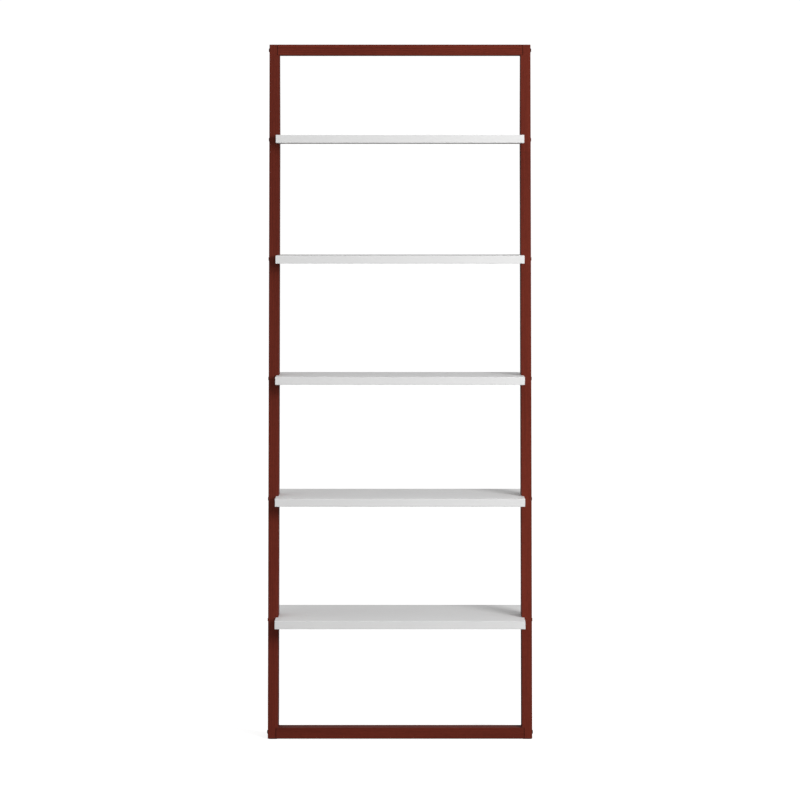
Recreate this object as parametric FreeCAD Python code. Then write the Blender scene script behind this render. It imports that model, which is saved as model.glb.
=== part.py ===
"""Ladder shelf: a wooden frame that leans on the wall and carries five boards, the deepest at the bottom.

Millimetres, +Z up. The front faces -Y, the wall is the plane of largest Y, and the origin is on the floor
under the middle of the bounding box. Two uprights and two shallower rails, flush at the front, make the
frame. Every shelf and rail ends in a housing cut into the uprights' inner faces, and one bolt through each
upright holds it there. The distance of a point from the wall is called its run, and every Y is worked out
from one. Depths are measured level, not square to the lean.
"""

import FreeCAD, Part
import math
import os

# Frame
HEIGHT = 2438.0
FRAME_WIDTH = 928.0
LEAN_DEG = 7.2
TOP_RUN = 50.0
UPRIGHT_WIDTH = 36.0
UPRIGHT_DEPTH = 89.0
RAIL_HEIGHT = 38.0
FRAME_EASE = 1.5
SEAM_EASE = 1.2

# Shelves
SHELF_COUNT = 5
SHELF_SPACING = 423.0
SHELF_THICKNESS = 28.0
SHELF_OVERHANG = 90.0
SHELF_WALL_GAP = 2.0
SHELF_EASE = 1.2

# Housed and bolted joints
HOUSING_DEPTH = 9.0
BOLT_RADIUS = 3.0
BOLT_LENGTH = 60.0
BOLT_HOLE_RADIUS = 3.3
BOLT_HEAD_RADIUS = 6.5
BOLT_HEAD_HEIGHT = 3.4
BOLT_HEAD_EASE = 1.6
BOLT_TIP_CHAMFER = 0.75
SOCKET_ACROSS_FLATS = 4.0
SOCKET_DEPTH = 2.2
INSERT_RADIUS = 5.0
INSERT_ROOT_RADIUS = 4.3
INSERT_BORE_RADIUS = 3.05
INSERT_LENGTH = 25.0
INSERT_RIDGES = 8
INSERT_HOLE_DEPTH = 35.0

# Foot pads
PAD_THICKNESS = 2.0
PAD_WIDTH = 30.0
PAD_DEPTH = 76.0
PAD_CORNER = 4.0

# Wall hangers in the back of the top rail
HANGER_SPACING = 406.4
PLATE_WIDTH = 46.0
PLATE_HEIGHT = 18.0
PLATE_THICKNESS = 2.0
PLATE_CORNER = 4.0
PLATE_SUNK = 0.2
PLATE_CLEARANCE = 0.2
KEYHOLE_ENTRY_RADIUS = 4.5
KEYHOLE_SLOT_RADIUS = 2.25
KEYHOLE_RISE = 7.5
POCKET_WIDTH = 12.0
POCKET_HEIGHT = 16.0
POCKET_DEPTH = 6.0
PLATE_SCREW_OFFSET = 17.0
SCREW_RADIUS = 1.5
SCREW_HEAD_RADIUS = 3.0
SCREW_HEAD_HEIGHT = 1.5
SCREW_LENGTH = 16.0
SCREW_TIP = 3.0
CROSS_WIDTH = 0.8
CROSS_LENGTH = 3.0
CROSS_DEPTH = 1.1

# How far a cutting shape reaches past the face it opens, and the largest difference taken as none
CUT_MARGIN = 1.0
TINY = 1e-6

# Worked out from the dimensions above
LEAN_TAN = math.tan(math.radians(LEAN_DEG))
RAIL_DEPTH = TOP_RUN + RAIL_HEIGHT * LEAN_TAN
OUTER_X = FRAME_WIDTH / 2
INNER_X = OUTER_X - UPRIGHT_WIDTH
BOARD_END_X = INNER_X + HOUSING_DEPTH
TOTAL_DEPTH = TOP_RUN + (HEIGHT - SHELF_SPACING) * LEAN_TAN + SHELF_OVERHANG
WALL_Y = TOTAL_DEPTH / 2
TOP_RAIL_Z = HEIGHT - RAIL_HEIGHT
BOTTOM_RAIL_Z = PAD_THICKNESS
HANGER_Z = HEIGHT - RAIL_HEIGHT / 2

X_AXIS = FreeCAD.Vector(1, 0, 0)
Y_AXIS = FreeCAD.Vector(0, 1, 0)
Z_AXIS = FreeCAD.Vector(0, 0, 1)
ORIGIN = FreeCAD.Vector(0, 0, 0)


def front_run(z):
    """Run of the frame's leaning front face at height z."""
    return TOP_RUN + (HEIGHT - z) * LEAN_TAN


def back_run(z, depth):
    """Run of the back of a frame member at height z: it leans with the front, and is plumb on the wall."""
    return max(front_run(z) - depth, 0.0)


def middle_y(z, depth):
    """Y of the middle of a frame member's depth at height z."""
    return WALL_Y - (front_run(z) + back_run(z, depth)) / 2


def leaning_section(z_low, z_high, depth, x):
    """Outline of a frame member between two heights, as a face square to X."""
    wall_z = HEIGHT - (depth - TOP_RUN) / LEAN_TAN
    outline = [(front_run(z_low), z_low), (front_run(z_high), z_high), (back_run(z_high, depth), z_high)]
    if z_low + TINY < wall_z < z_high - TINY:
        outline.append((0.0, wall_z))
    outline.append((back_run(z_low, depth), z_low))
    corners = [FreeCAD.Vector(x, WALL_Y - run, z) for run, z in outline]
    return Part.Face(Part.makePolygon(corners + corners[:1]))


def box(x_span, y_span, z_span):
    """A box between two values on each axis."""
    size = [high - low for low, high in (x_span, y_span, z_span)]
    return Part.makeBox(*size, FreeCAD.Vector(x_span[0], y_span[0], z_span[0]))


def mirrored(shape):
    """The same piece on the other side of the middle."""
    return shape.mirror(ORIGIN, X_AXIS)


def edges_along(shape, axis):
    """The straight edges of a shape that run along an axis."""
    found = []
    for edge in shape.Edges:
        ends = [vertex.Point for vertex in edge.Vertexes]
        if len(ends) == 2 and (ends[1] - ends[0]).cross(axis).Length < TINY:
            found.append(edge)
    return found


def shelf_top(number):
    """Height of a shelf's top face, counted from 1 at the floor."""
    return SHELF_SPACING * number


def board_levels():
    """Name, underside height and thickness of each shelf and rail that ends in the uprights."""
    levels = [("bottom_rail", BOTTOM_RAIL_Z, RAIL_HEIGHT)]
    for number in range(1, SHELF_COUNT + 1):
        levels.append((f"shelf_{number}", shelf_top(number) - SHELF_THICKNESS, SHELF_THICKNESS))
    levels.append(("top_rail", TOP_RAIL_Z, RAIL_HEIGHT))
    return levels


def joint_places():
    """Y and Z of each board's bolts: the middle of a rail, or where a shelf crosses an upright's middle."""
    places = {}
    for name, z_low, thickness in board_levels():
        z = z_low + thickness / 2
        depth = RAIL_DEPTH if name.endswith("rail") else UPRIGHT_DEPTH
        places[name] = (middle_y(z, depth), z)
    return places


def housing(name, z_low, thickness):
    """Space for a board's end in the right upright; a rail's is open at the upright's end too."""
    x_low = INNER_X - CUT_MARGIN
    z_high = z_low + thickness
    if not name.endswith("rail"):
        return box((x_low, BOARD_END_X), (-WALL_Y, WALL_Y + CUT_MARGIN), (z_low, z_high))
    if name == "bottom_rail":
        z_low -= CUT_MARGIN
    if name == "top_rail":
        z_high += CUT_MARGIN
    return leaning_section(z_low, z_high, RAIL_DEPTH, x_low).extrude(X_AXIS * (HOUSING_DEPTH + CUT_MARGIN))


def is_end_height(z):
    """Whether height z is that of an upright's lower or upper end."""
    return abs(z - PAD_THICKNESS) < TINY or abs(z - HEIGHT) < TINY


def right_upright():
    """A leaning bar with eased edges, a housing for each board and a hole for each bolt."""
    bar = leaning_section(PAD_THICKNESS, HEIGHT, UPRIGHT_DEPTH, INNER_X).extrude(X_AXIS * UPRIGHT_WIDTH)
    across = edges_along(bar, X_AXIS)
    lengths = [edge for edge in bar.Edges if not any(edge.isSame(other) for other in across)]
    at_ends = [edge for edge in across if is_end_height(edge.CenterOfMass.z)]
    bar = bar.makeFillet(FRAME_EASE, lengths + at_ends)
    for name, z_low, thickness in board_levels():
        bar = bar.cut(housing(name, z_low, thickness))
    for y, z in joint_places().values():
        start = FreeCAD.Vector(BOARD_END_X - CUT_MARGIN, y, z)
        bar = bar.cut(Part.makeCylinder(BOLT_HOLE_RADIUS, UPRIGHT_WIDTH, start, X_AXIS))
    return bar.removeSplitter()


def with_insert_holes(board, name):
    """A board with a blind hole for a threaded insert in each end."""
    for side in (-1, 1):
        mouth = FreeCAD.Vector(side * BOARD_END_X, *joint_places()[name])
        board = board.cut(Part.makeCylinder(INSERT_RADIUS, INSERT_HOLE_DEPTH, mouth, X_AXIS * -side))
    return board


def rail(name, z_low):
    """A rail whose front is flush with the uprights', with its end edges eased to a fine seam."""
    section = leaning_section(z_low, z_low + RAIL_HEIGHT, RAIL_DEPTH, -BOARD_END_X)
    bar = section.extrude(X_AXIS * (2 * BOARD_END_X))
    bar = bar.makeFillet(FRAME_EASE, edges_along(bar, X_AXIS))
    seams = [edge for edge in bar.Edges if edge.BoundBox.XLength < TINY]
    bar = bar.makeChamfer(SEAM_EASE, seams)
    return with_insert_holes(bar, name)


def shelf(number):
    """A plain board from just clear of the wall to its overhang in front of the uprights."""
    z_top = shelf_top(number)
    front_y = WALL_Y - front_run(z_top) - SHELF_OVERHANG
    board = box(
        (-BOARD_END_X, BOARD_END_X),
        (front_y, WALL_Y - SHELF_WALL_GAP),
        (z_top - SHELF_THICKNESS, z_top),
    )
    board = board.makeFillet(SHELF_EASE, board.Edges)
    return with_insert_holes(board, f"shelf_{number}")


def right_bolt(y, z):
    """A connector bolt with a low round head on the upright's outer face and a hexagon socket."""
    seat = FreeCAD.Vector(OUTER_X, y, z)
    head = Part.makeCylinder(BOLT_HEAD_RADIUS, BOLT_HEAD_HEIGHT, seat, X_AXIS)
    rim = max((edge for edge in head.Edges if edge.isClosed()), key=lambda edge: edge.CenterOfMass.x)
    head = head.makeFillet(BOLT_HEAD_EASE, [rim])
    corner_radius = SOCKET_ACROSS_FLATS / math.sqrt(3)
    corners = []
    for step in range(7):
        turn = math.radians(60 * step)
        offset = FreeCAD.Vector(0, corner_radius * math.cos(turn), corner_radius * math.sin(turn))
        corners.append(seat + X_AXIS * BOLT_HEAD_HEIGHT + offset)
    socket = Part.Face(Part.makePolygon(corners)).extrude(X_AXIS * -SOCKET_DEPTH)
    shank = Part.makeCylinder(BOLT_RADIUS, BOLT_LENGTH, seat, X_AXIS * -1)
    tip = min((edge for edge in shank.Edges if edge.isClosed()), key=lambda edge: edge.CenterOfMass.x)
    return head.fuse(shank.makeChamfer(BOLT_TIP_CHAMFER, [tip])).cut(socket).removeSplitter()


def right_insert(y, z):
    """A threaded insert in a board's end: a sleeve with ridges that grip, and a bore for the bolt."""
    pitch = INSERT_LENGTH / INSERT_RIDGES
    profile = [(0.0, 0.0), (0.0, INSERT_ROOT_RADIUS)]
    for ridge in range(INSERT_RIDGES):
        crest = ridge * pitch + pitch / 2
        profile.append((crest, INSERT_RADIUS))
        profile.append((crest + pitch / 2, INSERT_ROOT_RADIUS))
    profile.append((INSERT_LENGTH, 0.0))
    mouth = FreeCAD.Vector(BOARD_END_X, y, z)
    points = [mouth + FreeCAD.Vector(-inward, 0, radius) for inward, radius in profile]
    sleeve = Part.Face(Part.makePolygon(points + points[:1])).revolve(mouth, X_AXIS, 360)
    return sleeve.cut(Part.makeCylinder(INSERT_BORE_RADIUS, INSERT_LENGTH, mouth, X_AXIS * -1))


def right_foot_pad():
    """A thin pad under the foot of the upright."""
    middle_x = (OUTER_X + INNER_X) / 2
    foot_y = middle_y(PAD_THICKNESS, UPRIGHT_DEPTH)
    pad = box(
        (middle_x - PAD_WIDTH / 2, middle_x + PAD_WIDTH / 2),
        (foot_y - PAD_DEPTH / 2, foot_y + PAD_DEPTH / 2),
        (0.0, PAD_THICKNESS),
    )
    return pad.makeFillet(PAD_CORNER, edges_along(pad, Z_AXIS))


def hanger_outline(spare, y_front, y_back):
    """The plate's rounded block, larger all round by spare, between two Y values."""
    middle_x = HANGER_SPACING / 2
    half_width = PLATE_WIDTH / 2 + spare
    half_height = PLATE_HEIGHT / 2 + spare
    block = box(
        (middle_x - half_width, middle_x + half_width),
        (y_front, y_back),
        (HANGER_Z - half_height, HANGER_Z + half_height),
    )
    return block.makeFillet(PLATE_CORNER + spare, edges_along(block, Y_AXIS))


def plate_back_y():
    """Y of the hanger plate's outer face, just under the rail's back face."""
    return WALL_Y - PLATE_SUNK


def right_hanger_screw(side):
    """A countersunk cross-head screw at one end of the hanger plate."""
    face = FreeCAD.Vector(HANGER_SPACING / 2 + side * PLATE_SCREW_OFFSET, plate_back_y(), HANGER_Z)
    inward = Y_AXIS * -1
    head = Part.makeCone(SCREW_HEAD_RADIUS, SCREW_RADIUS, SCREW_HEAD_HEIGHT, face, inward)
    shank = Part.makeCylinder(SCREW_RADIUS, SCREW_LENGTH - SCREW_TIP, face, inward)
    tip_start = face + inward * (SCREW_LENGTH - SCREW_TIP)
    tip = Part.makeCone(SCREW_RADIUS, 0, SCREW_TIP, tip_start, inward)
    screw = head.fuse([shank, tip]).removeSplitter()
    for width, height in ((CROSS_LENGTH, CROSS_WIDTH), (CROSS_WIDTH, CROSS_LENGTH)):
        recess = box(
            (face.x - width / 2, face.x + width / 2),
            (face.y - CROSS_DEPTH, face.y + CUT_MARGIN),
            (face.z - height / 2, face.z + height / 2),
        )
        screw = screw.cut(recess)
    return screw


def screw_space(side):
    """The whole space that a hanger screw fills, without its cross recess."""
    face = FreeCAD.Vector(HANGER_SPACING / 2 + side * PLATE_SCREW_OFFSET, plate_back_y(), HANGER_Z)
    inward = Y_AXIS * -1
    head = Part.makeCone(SCREW_HEAD_RADIUS, SCREW_RADIUS, SCREW_HEAD_HEIGHT, face, inward)
    return head.fuse(Part.makeCylinder(SCREW_RADIUS, SCREW_LENGTH, face, inward)).removeSplitter()


def right_hanger_plate():
    """A steel plate with a keyhole, wide below to let a wall screw's head in and narrow above to hold it."""
    y_back = plate_back_y()
    plate = hanger_outline(0.0, y_back - PLATE_THICKNESS, y_back)
    entry = FreeCAD.Vector(HANGER_SPACING / 2, y_back + CUT_MARGIN, HANGER_Z - KEYHOLE_RISE / 2)
    through = PLATE_THICKNESS + 2 * CUT_MARGIN
    plate = plate.cut(Part.makeCylinder(KEYHOLE_ENTRY_RADIUS, through, entry, Y_AXIS * -1))
    top = entry + Z_AXIS * KEYHOLE_RISE
    plate = plate.cut(Part.makeCylinder(KEYHOLE_SLOT_RADIUS, through, top, Y_AXIS * -1))
    slot = box(
        (entry.x - KEYHOLE_SLOT_RADIUS, entry.x + KEYHOLE_SLOT_RADIUS),
        (entry.y - through, entry.y),
        (entry.z, top.z),
    )
    plate = plate.cut(slot)
    for side in (-1, 1):
        plate = plate.cut(screw_space(side))
    return plate


def top_rail():
    """The upper rail, with a recess and a pocket for each hanger plate and holes for the plates' screws."""
    bar = rail("top_rail", TOP_RAIL_Z)
    middle_x = HANGER_SPACING / 2
    plate_front_y = plate_back_y() - PLATE_THICKNESS
    recess = hanger_outline(PLATE_CLEARANCE, plate_front_y, WALL_Y + CUT_MARGIN)
    pocket = box(
        (middle_x - POCKET_WIDTH / 2, middle_x + POCKET_WIDTH / 2),
        (plate_front_y - POCKET_DEPTH, WALL_Y + CUT_MARGIN),
        (HANGER_Z - POCKET_HEIGHT / 2, HANGER_Z + POCKET_HEIGHT / 2),
    )
    hollow = recess.fuse([pocket, screw_space(-1), screw_space(1)])
    return bar.cut(hollow).cut(mirrored(hollow))


def all_pieces():
    """Every piece of the object by name, in its assembled place."""
    pieces = {
        "bottom_rail": rail("bottom_rail", BOTTOM_RAIL_Z),
        "top_rail": top_rail(),
    }
    for number in range(1, SHELF_COUNT + 1):
        pieces[f"shelf_{number}"] = shelf(number)
    on_the_right = {
        "upright": right_upright(),
        "foot_pad": right_foot_pad(),
        "hanger_plate": right_hanger_plate(),
        "hanger_screw_inner": right_hanger_screw(-1),
        "hanger_screw_outer": right_hanger_screw(1),
    }
    for name, (y, z) in joint_places().items():
        on_the_right[f"bolt_{name}"] = right_bolt(y, z)
        on_the_right[f"insert_{name}"] = right_insert(y, z)
    for name, shape in on_the_right.items():
        pieces[f"right_{name}"] = shape
        pieces[f"left_{name}"] = mirrored(shape)
    return pieces


os.makedirs("parts", exist_ok=True)
for node, shape in all_pieces().items():
    shape.exportStep(f"parts/{node}.step")
    print(f"{node}: {len(shape.Solids)} solid, valid {shape.isValid()}, {shape.Volume / 1000:.1f} cm3")
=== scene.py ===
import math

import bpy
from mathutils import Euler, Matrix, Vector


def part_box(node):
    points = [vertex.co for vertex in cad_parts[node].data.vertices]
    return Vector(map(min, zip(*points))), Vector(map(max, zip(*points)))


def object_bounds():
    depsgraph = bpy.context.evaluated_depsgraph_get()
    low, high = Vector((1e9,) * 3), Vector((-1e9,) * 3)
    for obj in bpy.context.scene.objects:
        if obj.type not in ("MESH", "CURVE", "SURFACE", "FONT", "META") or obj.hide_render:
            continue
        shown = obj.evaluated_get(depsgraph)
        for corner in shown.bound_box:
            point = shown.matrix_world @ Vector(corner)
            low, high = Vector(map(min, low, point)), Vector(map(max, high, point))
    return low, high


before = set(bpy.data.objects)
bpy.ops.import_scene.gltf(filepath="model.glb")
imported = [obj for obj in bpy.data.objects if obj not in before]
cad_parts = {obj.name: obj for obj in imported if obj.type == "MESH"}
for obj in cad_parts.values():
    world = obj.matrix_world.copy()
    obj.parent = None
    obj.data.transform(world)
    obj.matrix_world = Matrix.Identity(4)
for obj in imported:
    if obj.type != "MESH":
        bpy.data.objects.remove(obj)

# The looks of a ladder shelf: stained wood for the frame, white lacquer for the boards, and the small
# hardware, on a pale floor in soft light. Metres, in the part's own frame: the front faces -Y, +Z is up.

CAD_LOW, CAD_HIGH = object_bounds()
WALL_Y = CAD_HIGH.y

WHITE = (1.0, 1.0, 1.0, 1.0)
BLACK = (0.0, 0.0, 0.0, 1.0)

# Camera: metres from the wall and above the floor, the tilt down, and the lens and sensor in millimetres
CAMERA_DISTANCE = 9.75
CAMERA_HEIGHT = 1.88
CAMERA_PITCH = math.radians(4.181)
CAMERA_LENS = 121.94
SENSOR_WIDTH = 36.0

# Light from all round: its strength at the horizon and overhead, and the share of it that is left behind the
# shelf and beside it. A direction is fully behind when its Y reaches BEHIND_FULL.
HORIZON_GLOW = 0.39
ZENITH_GLOW = 0.98
BEHIND_SHARE = 0.85
BEHIND_FULL = 0.8
SIDE_SHARE = 0.5

# Key light: watts, metres across, and where it stands and points
KEY_POWER = 144.0
KEY_SIZE = 2.0
KEY_PLACE = Vector((2.7, -3.2, 2.6))
KEY_AIM = Vector((0.0, 0.0, 1.5))

# Floor, backdrop and the unseen floor that throws light back up
STAGE_RADIUS = 30.0
STAGE_SIDES = 96
STAGE_HEIGHT = 40.0
STAGE_ROUGHNESS = 0.9
FLOOR_COLOUR = (0.45, 0.45, 0.448, 1.0)
FLOOR_GLOW = 0.75
BACKDROP_GLOW = 1.05
BOUNCE_DROP = 0.002
BOUNCE_COLOUR = (0.36, 0.36, 0.355, 1.0)

# Wood stain: dark and light, and stain pooled in pores, whose colour is also the painted shade of the joints'
# gaps at a rail's ends; how strongly stain pools in pores, how dark the painted joint shade gets, and how far
# into a rail it reaches
STAIN_DARK = (0.074, 0.0110, 0.0072, 1.0)
STAIN_LIGHT = (0.192, 0.0310, 0.0165, 1.0)
POOLED_STAIN_AND_JOINT_SHADE = (0.022, 0.0045, 0.0030, 1.0)
PORE_STAIN = 0.45
JOINT_SHADE = 0.9
JOINT_SHADE_WIDTH = 0.004

# Wood grain: cycles per metre across, across and along a member
TONE_SCALE = (9, 9, 1.3)
WAVER_SCALE = (14, 14, 1.7)
FIBRE_SCALE = (420, 420, 9)
PORE_SCALE = (1500, 1500, 55)

# Growth rings: the scale gives one every 4 mm, and the waver and the distortion bend them
RING_SCALE = 78.5
RING_WAVER = 14.0
RING_DISTORTION = 2.2

# How much each pattern counts, and the range of their sum that runs from the dark stain to the light one
TONE_WEIGHT = 0.42
RING_WEIGHT = 0.25
FIBRE_WEIGHT = 0.38
GRAIN_RANGE = (0.25, 0.78)

# The wood's surface: the values of their noise at which pores start and are full, what they add to the
# roughness, and the depth of the grain in metres
PORE_RANGE = (0.60, 0.70)
PORE_ROUGHNESS = 0.12
WOOD_ROUGHNESS = (0.54, 0.64)
WOOD_RELIEF = 0.00010
WOOD_SPECULAR = 0.10

# Most of a noise's values lie in this range
NOISE_RANGE = (0.3, 0.7)

# The other materials: two colours that a noise mixes, the roughness from low to high, and brush or tool marks
# in cycles per metre along each axis
LACQUER_COLOURS = (0.725, 0.725, 0.728, 1.0), (0.765, 0.765, 0.762, 1.0)
LACQUER_ROUGHNESS = (0.42, 0.50)
LACQUER_SPECULAR = 0.4
BOLT_COLOURS = (0.012, 0.009, 0.008, 1.0), (0.038, 0.030, 0.027, 1.0)
BOLT_ROUGHNESS = (0.36, 0.48)
BOLT_METAL = 0.85
BRASS_COLOURS = (0.45, 0.29, 0.10, 1.0), (0.66, 0.46, 0.19, 1.0)
BRASS_ROUGHNESS = (0.25, 0.42)
BRASS_MARKS = (4000, 200, 200)
RUBBER_COLOURS = (0.018, 0.018, 0.019, 1.0), (0.060, 0.059, 0.058, 1.0)
RUBBER_ROUGHNESS = (0.72, 0.88)
ZINC_COLOURS = (0.50, 0.51, 0.52, 1.0), (0.64, 0.64, 0.63, 1.0)
ZINC_ROUGHNESS = (0.26, 0.42)
ZINC_MARKS = (60, 2600, 2600)


def new_material(name):
    """A node material and its shader."""
    material = bpy.data.materials.new(name)
    material.use_nodes = True
    return material, material.node_tree.nodes["Principled BSDF"]


def add(material, kind, inputs, **settings):
    """A node whose inputs are values or other nodes' outputs."""
    tree = material.node_tree
    node = tree.nodes.new(kind)
    for name, value in settings.items():
        setattr(node, name, value)
    for key, value in inputs.items():
        if isinstance(value, bpy.types.NodeSocket):
            tree.links.new(value, node.inputs[key])
        else:
            node.inputs[key].default_value = value
    return node


def link(material, output, socket):
    """Joins an output to a shader's socket."""
    material.node_tree.links.new(output, socket)


def finish_shader(material, shader, colour, roughness, normal, metallic=0.0, specular=0.5):
    """Joins the outputs that vary to the shader and sets the sockets that are the same all over."""
    link(material, colour, shader.inputs["Base Color"])
    link(material, roughness, shader.inputs["Roughness"])
    link(material, normal, shader.inputs["Normal"])
    shader.inputs["Metallic"].default_value = metallic
    shader.inputs["Specular IOR Level"].default_value = specular
    return material


def noise(material, vector, scale, detail=3.0, roughness=0.5):
    """Fractal noise from 0 to 1 at a scale in cycles per metre."""
    inputs = {"Vector": vector, "Scale": scale, "Detail": detail, "Roughness": roughness}
    return add(material, "ShaderNodeTexNoise", inputs).outputs["Fac"]


def stretched(material, vector, scale):
    """Coordinates scaled by a different amount along each axis."""
    inputs = {"Vector": vector, "Scale": scale}
    return add(material, "ShaderNodeMapping", inputs).outputs["Vector"]


def ranged(material, value, start, end):
    """A value mapped from one range to another and kept inside it."""
    inputs = {"Value": value, "From Min": start[0], "From Max": start[1], "To Min": end[0], "To Max": end[1]}
    return add(material, "ShaderNodeMapRange", inputs).outputs["Result"]


def calculate(material, operation, first, second):
    """One step of arithmetic on two values."""
    return add(material, "ShaderNodeMath", {0: first, 1: second}, operation=operation).outputs[0]


def mix_colours(material, factor, first, second):
    """A colour between two. The node has sockets for every type of data; 0, 6, 7 and 2 are the colours'."""
    inputs = {0: factor, 6: first, 7: second}
    return add(material, "ShaderNodeMix", inputs, data_type="RGBA").outputs[2]


def bump(material, height, distance, strength=1.0):
    """A normal from a height between 0 and 1, over a distance in metres."""
    inputs = {"Height": height, "Distance": distance, "Strength": strength}
    return add(material, "ShaderNodeBump", inputs).outputs["Normal"]


def object_place(material):
    """Coordinates in metres in the part's frame."""
    return add(material, "ShaderNodeTexCoord", {}).outputs["Object"]


def shaded(colour, share):
    """A colour at a share of its brightness."""
    return (colour[0] * share, colour[1] * share, colour[2] * share, 1.0)


def joint_shade(material, end):
    """Painted shade of the gaps in the joints at a rail's two ends, along with stain pooled in them: how much
    it darkens, from 0 to 1.
    """
    across = add(material, "ShaderNodeSeparateXYZ", {"Vector": object_place(material)}).outputs["X"]
    reach = calculate(material, "ABSOLUTE", across, 0.0)
    return ranged(material, reach, (end - JOINT_SHADE_WIDTH, end), (0.0, JOINT_SHADE))


def wood(node, turn, pith, share):
    """Stained straight-grained wood for one member. The turn brings its length onto Z, the pith is where the
    growth rings' centre lies beside its middle, and the share darkens the whole member: painted shade on the
    left upright, the side away from the key light, and a darker bottom rail."""
    material, shader = new_material("stained_wood_" + node)
    low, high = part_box(node)
    middle = (low + high) / 2
    middle.rotate(Euler(turn))
    inputs = {"Vector": object_place(material), "Rotation": turn, "Location": pith - middle}
    along = add(material, "ShaderNodeMapping", inputs).outputs["Vector"]

    tone = noise(material, stretched(material, along, TONE_SCALE), scale=1.0, detail=2.0)
    waver = noise(material, stretched(material, along, WAVER_SCALE), scale=1.0, detail=2.0)
    ring_inputs = {
        "Vector": along,
        "Scale": RING_SCALE,
        "Distortion": RING_DISTORTION,
        "Detail": 3.0,
        "Detail Scale": 0.6,
        "Phase Offset": calculate(material, "MULTIPLY", waver, RING_WAVER),
    }
    rings = add(
        material, "ShaderNodeTexWave", ring_inputs, wave_type="RINGS", rings_direction="Z", wave_profile="SAW"
    ).outputs["Fac"]
    fibre = noise(material, stretched(material, along, FIBRE_SCALE), scale=1.0, detail=4.0, roughness=0.6)
    pore_field = noise(material, stretched(material, along, PORE_SCALE), scale=1.0, detail=1.0)
    pores = ranged(material, pore_field, PORE_RANGE, (0.0, 1.0))

    light = calculate(material, "MULTIPLY", tone, TONE_WEIGHT)
    for pattern, weight in ((rings, RING_WEIGHT), (fibre, FIBRE_WEIGHT)):
        light = calculate(material, "ADD", light, calculate(material, "MULTIPLY", pattern, weight))
    light = ranged(material, light, GRAIN_RANGE, (0.0, 1.0))
    # The share darkens the whole member's stain: painted shade on the left upright, and a darker bottom rail
    stain = mix_colours(material, light, shaded(STAIN_DARK, share), shaded(STAIN_LIGHT, share))
    pore_strength = calculate(material, "MULTIPLY", pores, PORE_STAIN)
    stain = mix_colours(material, pore_strength, stain, POOLED_STAIN_AND_JOINT_SHADE)
    # Painted shade of the joints' gaps at both ends of a rail, along with stain pooled there
    if node.endswith("rail"):
        stain = mix_colours(material, joint_shade(material, high.x), stain, POOLED_STAIN_AND_JOINT_SHADE)

    sheen = ranged(material, fibre, NOISE_RANGE, WOOD_ROUGHNESS)
    dullness = calculate(material, "ADD", sheen, calculate(material, "MULTIPLY", pores, PORE_ROUGHNESS))
    grain = calculate(material, "SUBTRACT", fibre, pores)
    relief = bump(material, grain, WOOD_RELIEF, strength=0.6)
    return finish_shader(material, shader, stain, dullness, relief, specular=WOOD_SPECULAR)


def white_lacquer():
    """Satin white lacquer, sprayed: very faint mottling and orange peel."""
    material, shader = new_material("white_lacquer")
    place = object_place(material)
    colour = mix_colours(material, noise(material, place, scale=6.0), *LACQUER_COLOURS)
    roughness = ranged(material, noise(material, place, scale=35.0), NOISE_RANGE, LACQUER_ROUGHNESS)
    peel = bump(material, noise(material, place, scale=900.0, detail=2.0), distance=0.00002, strength=0.5)
    return finish_shader(material, shader, colour, roughness, peel, specular=LACQUER_SPECULAR)


def dark_bolt_steel():
    """Black-oxide steel with the fine circles left by turning the head."""
    material, shader = new_material("dark_bolt_steel")
    across = add(material, "ShaderNodeTexCoord", {}).outputs["Generated"]
    from_middle = {0: across, 1: (0.5, 0.5, 0.5)}
    centred = add(material, "ShaderNodeVectorMath", from_middle, operation="SUBTRACT").outputs[0]
    circle_inputs = {"Vector": centred, "Scale": 18.0, "Distortion": 0.6, "Detail": 1.0}
    circles = add(
        material, "ShaderNodeTexWave", circle_inputs, wave_type="RINGS", rings_direction="X"
    ).outputs["Fac"]
    rub = noise(material, object_place(material), scale=700.0, detail=4.0)
    colour = mix_colours(material, rub, *BOLT_COLOURS)
    roughness = ranged(material, circles, (0.0, 1.0), BOLT_ROUGHNESS)
    turning = bump(material, circles, distance=0.00003, strength=0.5)
    return finish_shader(material, shader, colour, roughness, turning, metallic=BOLT_METAL)


def turned_brass():
    """Brass with faint turning marks and a little tarnish."""
    material, shader = new_material("turned_brass")
    place = object_place(material)
    colour = mix_colours(material, noise(material, place, scale=260.0), *BRASS_COLOURS)
    marks = noise(material, stretched(material, place, BRASS_MARKS), scale=1.0, detail=2.0)
    roughness = ranged(material, marks, NOISE_RANGE, BRASS_ROUGHNESS)
    turning = bump(material, marks, distance=0.00002, strength=0.4)
    return finish_shader(material, shader, colour, roughness, turning, metallic=1.0)


def pad_rubber():
    """Dark grey rubber with a fine grit."""
    material, shader = new_material("pad_rubber")
    grit = noise(material, object_place(material), scale=1400.0)
    colour = mix_colours(material, grit, *RUBBER_COLOURS)
    roughness = ranged(material, grit, NOISE_RANGE, RUBBER_ROUGHNESS)
    relief = bump(material, grit, distance=0.00008, strength=0.6)
    return finish_shader(material, shader, colour, roughness, relief)


def zinc_steel():
    """Zinc-plated steel, brushed along X."""
    material, shader = new_material("zinc_steel")
    place = object_place(material)
    brush = noise(material, stretched(material, place, ZINC_MARKS), scale=1.0)
    colour = mix_colours(material, noise(material, place, scale=120.0), *ZINC_COLOURS)
    roughness = ranged(material, brush, NOISE_RANGE, ZINC_ROUGHNESS)
    brushing = bump(material, brush, distance=0.00002, strength=0.5)
    return finish_shader(material, shader, colour, roughness, brushing, metallic=1.0)


def lean_of_uprights():
    """Angle of the uprights from vertical."""
    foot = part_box("bottom_rail")[0]
    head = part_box("top_rail")[0]
    return math.atan2(head.y - foot.y, head.z - foot.z)


def finish_node(name, material):
    """Gives a CAD node its material, keeping one slot."""
    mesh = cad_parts[name].data
    mesh.materials.clear()
    mesh.materials.append(material)


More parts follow.
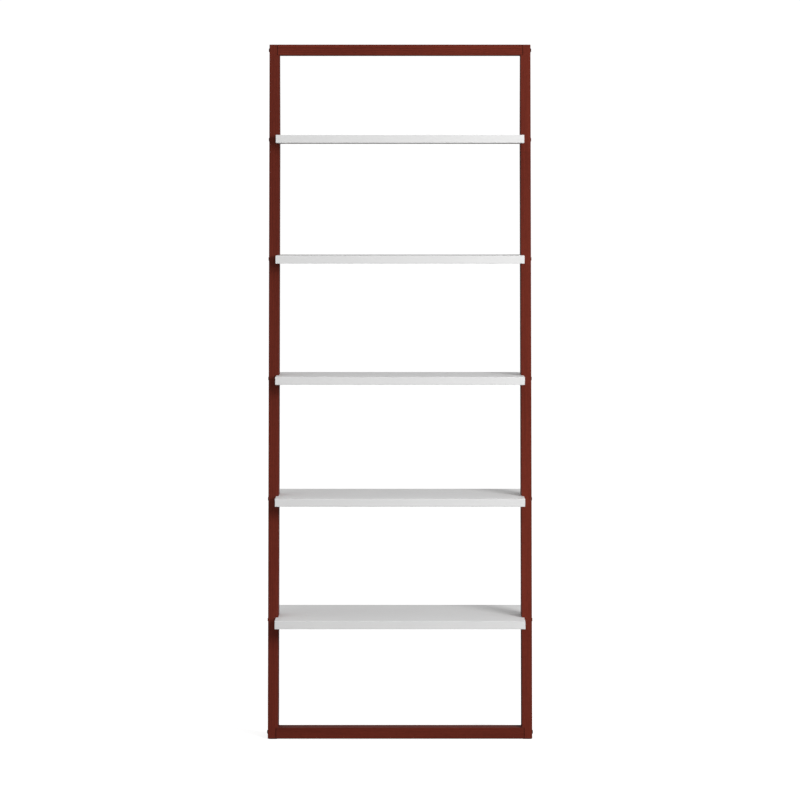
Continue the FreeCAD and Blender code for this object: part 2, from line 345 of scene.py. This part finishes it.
def give_materials():
    """Every CAD node's material: a member has its own wood, and the first word in another name that stands
    for a kind of piece settles it, so left_bolt_shelf_1 is a bolt."""
    along_upright = (lean_of_uprights(), 0.0, 0.0)
    along_rail = (0.0, -math.pi / 2, 0.0)
    # The turn that brings each member's length onto Z, its pith, and the share of brightness of its stain,
    # which darkens the whole member: on the left upright it is painted shade on the side away from the key
    # light, and it makes the bottom rail darker
    members = {
        "left_upright": (along_upright, Vector((0.050, 0.075, 3.1)), 0.96),
        "right_upright": (along_upright, Vector((-0.060, 0.055, 11.7)), 1.0),
        "top_rail": (along_rail, Vector((0.040, 0.080, 23.4)), 1.0),
        "bottom_rail": (along_rail, Vector((0.065, -0.050, 37.9)), 0.87),
    }
    small = {
        "shelf": white_lacquer(),
        "bolt": dark_bolt_steel(),
        "insert": turned_brass(),
        "pad": pad_rubber(),
        "hanger": zinc_steel(),
    }
    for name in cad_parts:
        if name in members:
            finish_node(name, wood(name, *members[name]))
        else:
            kind = next(word for word in name.split("_") if word in small)
            finish_node(name, small[kind])


def make_world():
    """Soft light from all round, brightest overhead, dimmer from behind, where the wall would be, and dimmest
    from the sides."""
    world = bpy.data.worlds.new("studio")
    world.use_nodes = True
    bpy.context.scene.world = world
    background = world.node_tree.nodes["Background"]
    direction = add(world, "ShaderNodeTexCoord", {}).outputs["Generated"]
    parts = add(world, "ShaderNodeSeparateXYZ", {"Vector": direction}).outputs
    glow = ranged(world, parts["Z"], (0.0, 1.0), (HORIZON_GLOW, ZENITH_GLOW))
    behind = ranged(world, parts["Y"], (0.0, BEHIND_FULL), (1.0, BEHIND_SHARE))
    sideways = calculate(world, "MULTIPLY", parts["X"], parts["X"])
    beside = ranged(world, sideways, (0.0, 1.0), (1.0, SIDE_SHARE))
    share = calculate(world, "MULTIPLY", behind, beside)
    link(world, calculate(world, "MULTIPLY", glow, share), background.inputs["Strength"])
    background.inputs["Color"].default_value = WHITE


def stage_piece(name, corners, faces, colour, glow):
    """A plain piece of the studio, with the strength of its own glow."""
    mesh = bpy.data.meshes.new(name)
    mesh.from_pydata(corners, [], faces)
    piece = bpy.data.objects.new(name, mesh)
    bpy.context.scene.collection.objects.link(piece)
    material, shader = new_material(name)
    shader.inputs["Base Color"].default_value = colour
    shader.inputs["Roughness"].default_value = STAGE_ROUGHNESS
    shader.inputs["Specular IOR Level"].default_value = 0.0
    shader.inputs["Emission Color"].default_value = WHITE
    shader.inputs["Emission Strength"].default_value = glow
    mesh.materials.append(material)
    return piece


def make_stage():
    """A pale floor and a white backdrop all round, which light nothing, and a duller floor that throws the
    light back up at the object and isn't seen itself."""
    ring = []
    for step in range(STAGE_SIDES):
        turn = 2 * math.pi * step / STAGE_SIDES
        ring.append((STAGE_RADIUS * math.cos(turn), STAGE_RADIUS * math.sin(turn)))
    floor_corners = [(x, y, 0.0) for x, y in ring]
    top_corners = [(x, y, STAGE_HEIGHT) for x, y in ring]
    bounce_corners = [(x, y, -BOUNCE_DROP) for x, y in ring]
    disk = [tuple(range(STAGE_SIDES))]
    wall = []
    for step in range(STAGE_SIDES):
        after = (step + 1) % STAGE_SIDES
        wall.append((step, step + STAGE_SIDES, after + STAGE_SIDES, after))
    floor = stage_piece("floor", floor_corners, disk, FLOOR_COLOUR, FLOOR_GLOW)
    backdrop = stage_piece("backdrop", floor_corners + top_corners, wall, BLACK, BACKDROP_GLOW)
    bounce = stage_piece("bounce", bounce_corners, disk, BOUNCE_COLOUR, 0.0)
    for piece in (floor, backdrop):
        piece.visible_diffuse = False
        piece.visible_glossy = False
        piece.visible_shadow = False
    bounce.visible_camera = False


def make_key_light():
    """One large soft light, high on the right in front, hidden from reflections so that the boards don't
    glare from behind."""
    data = bpy.data.lights.new("key", "AREA")
    data.shape = "DISK"
    data.size = KEY_SIZE
    data.energy = KEY_POWER
    light = bpy.data.objects.new("key", data)
    light.location = KEY_PLACE
    light.rotation_euler = (KEY_AIM - KEY_PLACE).to_track_quat("-Z", "Y").to_euler()
    light.visible_glossy = False
    bpy.context.scene.collection.objects.link(light)


def make_camera():
    """Square to the wall and centred, higher than the shelf's middle and looking slightly down."""
    data = bpy.data.cameras.new("camera")
    data.lens = CAMERA_LENS
    data.sensor_width = SENSOR_WIDTH
    camera = bpy.data.objects.new("camera", data)
    camera.location = (0.0, WALL_Y - CAMERA_DISTANCE, CAMERA_HEIGHT)
    camera.rotation_euler = (math.pi / 2 - CAMERA_PITCH, 0.0, 0.0)
    bpy.context.scene.collection.objects.link(camera)
    bpy.context.scene.camera = camera


give_materials()
make_world()
make_stage()
make_key_light()
make_camera()
bpy.context.scene.view_settings.view_transform = "Standard"
